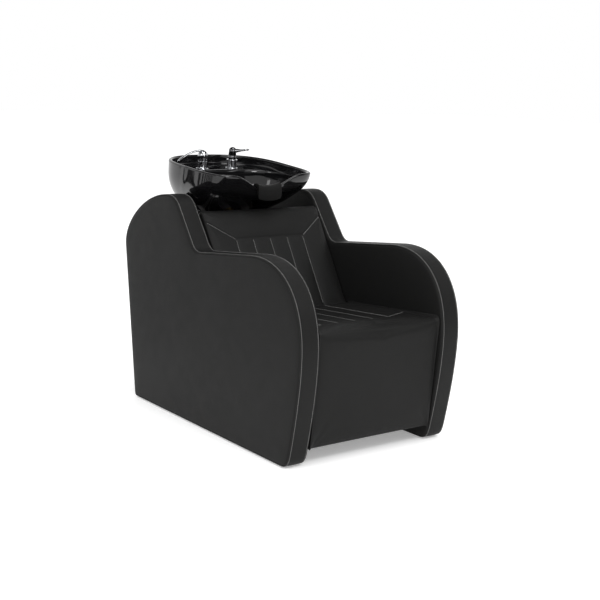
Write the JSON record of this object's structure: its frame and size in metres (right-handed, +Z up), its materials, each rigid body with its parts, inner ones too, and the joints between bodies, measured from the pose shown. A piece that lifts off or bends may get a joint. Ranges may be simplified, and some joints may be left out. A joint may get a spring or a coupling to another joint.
{
  "type": "salon backwash unit",
  "caption": "Upholstered black salon wash seat between two curved side panels, with a tilting glazed basin, mixer tap and pull-out hand shower behind the backrest.",
  "frame": {"origin": "centre of the footprint on the floor", "axes": "+Z up, -Y towards the front of the seat, +X to the left of a person who sits in it"},
  "size_m": [0.7, 1.187, 0.9944],
  "materials": {
    "black_vinyl": "fine-grained matte black upholstery vinyl, light grey top-stitching",
    "plywood": "raw birch plywood",
    "frame_steel": "black powder coat",
    "zinc_steel": "zinc plated",
    "black_plastic": "moulded, fine texture",
    "black_ceramic": "high gloss black glaze",
    "chrome": "polished",
    "grey_plastic": "satin moulded plastic",
    "brass": "machined",
    "braided_hose": "braided stainless over rubber",
    "grey_silicone": "soft matte silicone"
  },
  "bodies": {
    "frame": {"back_board": "plywood", "back_cleats": "plywood", "back_cushion": "black_vinyl", "basin_mount_plate": "frame_steel", "cold_hose": "braided_hose", "cold_valve": "brass", "floor_brackets": "frame_steel", "front_cross_rail": "frame_steel", "hot_hose": "braided_hose", "hot_valve": "brass", "left_base_rail": "frame_steel", "left_border_band": "black_vinyl", "left_inner_pad": "black_vinyl", "left_outer_pad": "black_vinyl", "left_panel_core": "plywood", "left_seat_side_board": "plywood", "left_upright": "frame_steel", "levelling_feet": "zinc_steel", "middle_cross_rail": "frame_steel", "panel_bolts": "zinc_steel", "panel_glides": "black_plastic", "pivot_ears": "frame_steel", "pivot_pin": "zinc_steel", "rear_battens": "plywood", "rear_cover": "black_vinyl", "rear_cover_screws": "zinc_steel", "rear_cross_rail": "frame_steel", "right_base_rail": "frame_steel", "right_border_band": "black_vinyl", "right_inner_pad": "black_vinyl", "right_outer_pad": "black_vinyl", "right_panel_core": "plywood", "right_seat_side_board": "plywood", "right_upright": "frame_steel", "seat_cushion": "black_vinyl", "seat_deck": "plywood", "seat_front_board": "plywood", "seat_rear_board": "plywood", "shower_hose": "braided_hose", "waste_hose": "grey_plastic", "waste_outlet_pipe": "grey_plastic"},
    "basin": {"basin_bowl": "black_ceramic", "basin_cradle": "frame_steel", "cradle_bolts": "zinc_steel", "drain_flange": "chrome", "drain_nut": "black_plastic", "drain_tailpiece": "brass", "mixer_flange": "chrome", "mixer_body": "chrome", "tap_back_nuts": "brass", "holder_flange": "chrome", "shower_holder": "chrome"},
    "tilt_lock": {"tilt_lock_lever": "black_plastic"},
    "mixer_cap": {"mixer_cap": "chrome"},
    "mixer_lever": {"mixer_lever": "chrome"},
    "hand_shower": {"hand_shower_grip": "chrome", "hand_shower_head": "chrome", "spray_face": "grey_plastic"},
    "strainer": {"drain_strainer": "chrome"},
    "neck_rest": {"neck_rest": "grey_silicone"}
  },
  "joints": [
    {"name": "basin_tilt", "type": "hinge", "parent": "frame", "child": "basin", "pos_m": [0, 0.42, 0.714], "axis": [1, 0, 0], "range_deg": [-12, 4], "deforming": ["hot_hose", "cold_hose", "waste_hose", "shower_hose"]},
    {"name": "tilt_lock", "type": "hinge", "parent": "frame", "child": "tilt_lock", "pos_m": [0.17, 0.42, 0.714], "axis": [1, 0, 0], "range_deg": [-60, 0]},
    {"name": "mixer_swivel", "type": "hinge", "parent": "basin", "child": "mixer_cap", "pos_m": [-0.07, 0.46972, 0.94554], "axis": [0, -0.0866, 0.9962], "range_deg": [-12, 60]},
    {"name": "mixer_lift", "type": "hinge", "parent": "mixer_cap", "child": "mixer_lever", "pos_m": [-0.074, 0.46842, 0.96049], "axis": [0, 0.9962, 0.0866], "range_deg": [0, 25]},
    {"name": "shower_pull", "type": "slide", "parent": "basin", "child": "hand_shower", "axis": [0, -0.0866, 0.9962], "range_m": [0, 0.18]},
    {"name": "strainer_lift", "type": "slide", "parent": "basin", "child": "strainer", "axis": [0, -0.0866, 0.9962], "range_m": [0, 0.06]},
    {"name": "neck_rest_off", "type": "slide", "parent": "basin", "child": "neck_rest", "axis": [0, -0.0866, 0.9962], "range_m": [0, 0.08]}
  ]
}
